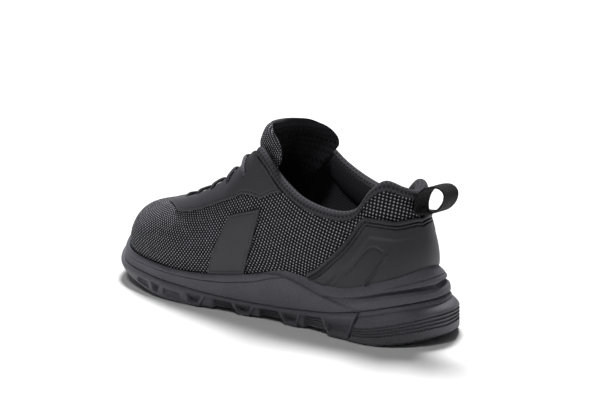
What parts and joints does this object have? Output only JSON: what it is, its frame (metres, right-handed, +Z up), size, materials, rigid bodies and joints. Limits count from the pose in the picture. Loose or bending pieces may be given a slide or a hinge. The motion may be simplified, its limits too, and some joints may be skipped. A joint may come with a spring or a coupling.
{
  "type": "low-cut lace-up work sneaker",
  "caption": "Low-cut lace-up work sneaker, left shoe: woven upper with smooth overlays, padded collar, arched tongue, foam midsole and lugged rubber outsole.",
  "frame": {"origin": "centre of the overall box in x and y, on the floor the sole stands on", "axes": "+X from heel to toe, +Y to the shoe's own left (the outer side), +Z up"},
  "size_m": [0.311, 0.1198, 0.134],
  "materials": {
    "outsole_rubber": "matte",
    "midsole_foam": "matte",
    "footbed_foam": "matte",
    "woven_mesh": "woven",
    "overlay_film": "satin",
    "lining_cloth": "matte",
    "tongue_cloth": "matte",
    "webbing": "woven",
    "lace_cord": "woven"
  },
  "bodies": {
    "root": {"outsole": "outsole_rubber", "midsole": "midsole_foam", "insole": "footbed_foam", "upper": "woven_mesh", "eyestay": "overlay_film", "heel_counter": "overlay_film", "side_panel_outer": "overlay_film", "side_panel_inner": "overlay_film", "collar_cuff": "lining_cloth", "tongue": "tongue_cloth", "pull_loop": "webbing", "lace": "lace_cord"}
  },
  "joints": []
}
